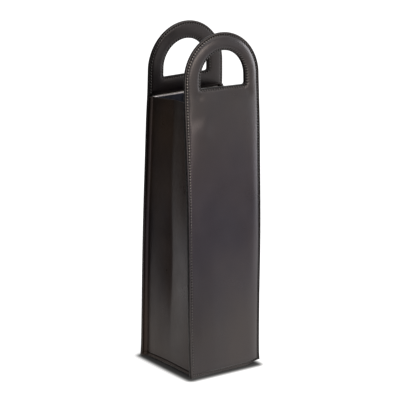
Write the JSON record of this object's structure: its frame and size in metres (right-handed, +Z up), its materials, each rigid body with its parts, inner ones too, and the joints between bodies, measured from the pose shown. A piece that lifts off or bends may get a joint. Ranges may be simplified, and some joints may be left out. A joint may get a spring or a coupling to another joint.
{
  "type": "bottle carrier",
  "caption": "Tall padded leather carrier that holds a wine bottle upright, with folded gussets, a striped cloth lining and arched handles with hand holes.",
  "frame": {"origin": "on the floor under the middle of the base", "axes": "+Z up, -Y towards the front panel, X across the panels"},
  "size_m": [0.1, 0.104, 0.39],
  "materials": {
    "leather": "smooth, semi-gloss dark brown-black",
    "gusset_leather": "smooth, softer sheen, dark brown-black",
    "lining": "woven, navy with faint stripes and a pale hem edge",
    "board": "grey-brown stiffener board",
    "foam": "soft padding felt",
    "thread": "waxed thread, dark grey"
  },
  "bodies": {
    "carrier": {"base_leather": "gusset_leather", "base_board": "board", "base_lining": "lining", "left_gusset_leather": "gusset_leather", "left_gusset_lining": "lining", "right_gusset_leather": "gusset_leather", "right_gusset_lining": "lining", "front_panel_leather": "leather", "front_panel_lining": "lining", "front_panel_board": "board", "front_panel_foam": "foam", "back_panel_leather": "leather", "back_panel_lining": "lining", "back_panel_board": "board", "back_panel_foam": "foam"},
    "front_handle": {"front_handle_leather": "leather", "front_handle_facing": "leather", "front_handle_board": "board", "front_handle_foam": "foam"},
    "back_handle": {"back_handle_leather": "leather", "back_handle_facing": "leather", "back_handle_board": "board", "back_handle_foam": "foam"}
  },
  "joints": [
    {"name": "front_handle_flex", "type": "hinge", "parent": "carrier", "child": "front_handle", "pos_m": [0, -0.0354, 0.313], "axis": [1, 0, 0], "range_deg": [-25, 45], "stiffness_Nm_per_rad": 0.12},
    {"name": "back_handle_flex", "type": "hinge", "parent": "carrier", "child": "back_handle", "pos_m": [0, 0.0354, 0.313], "axis": [-1, 0, 0], "range_deg": [-25, 45], "stiffness_Nm_per_rad": 0.12}
  ]
}
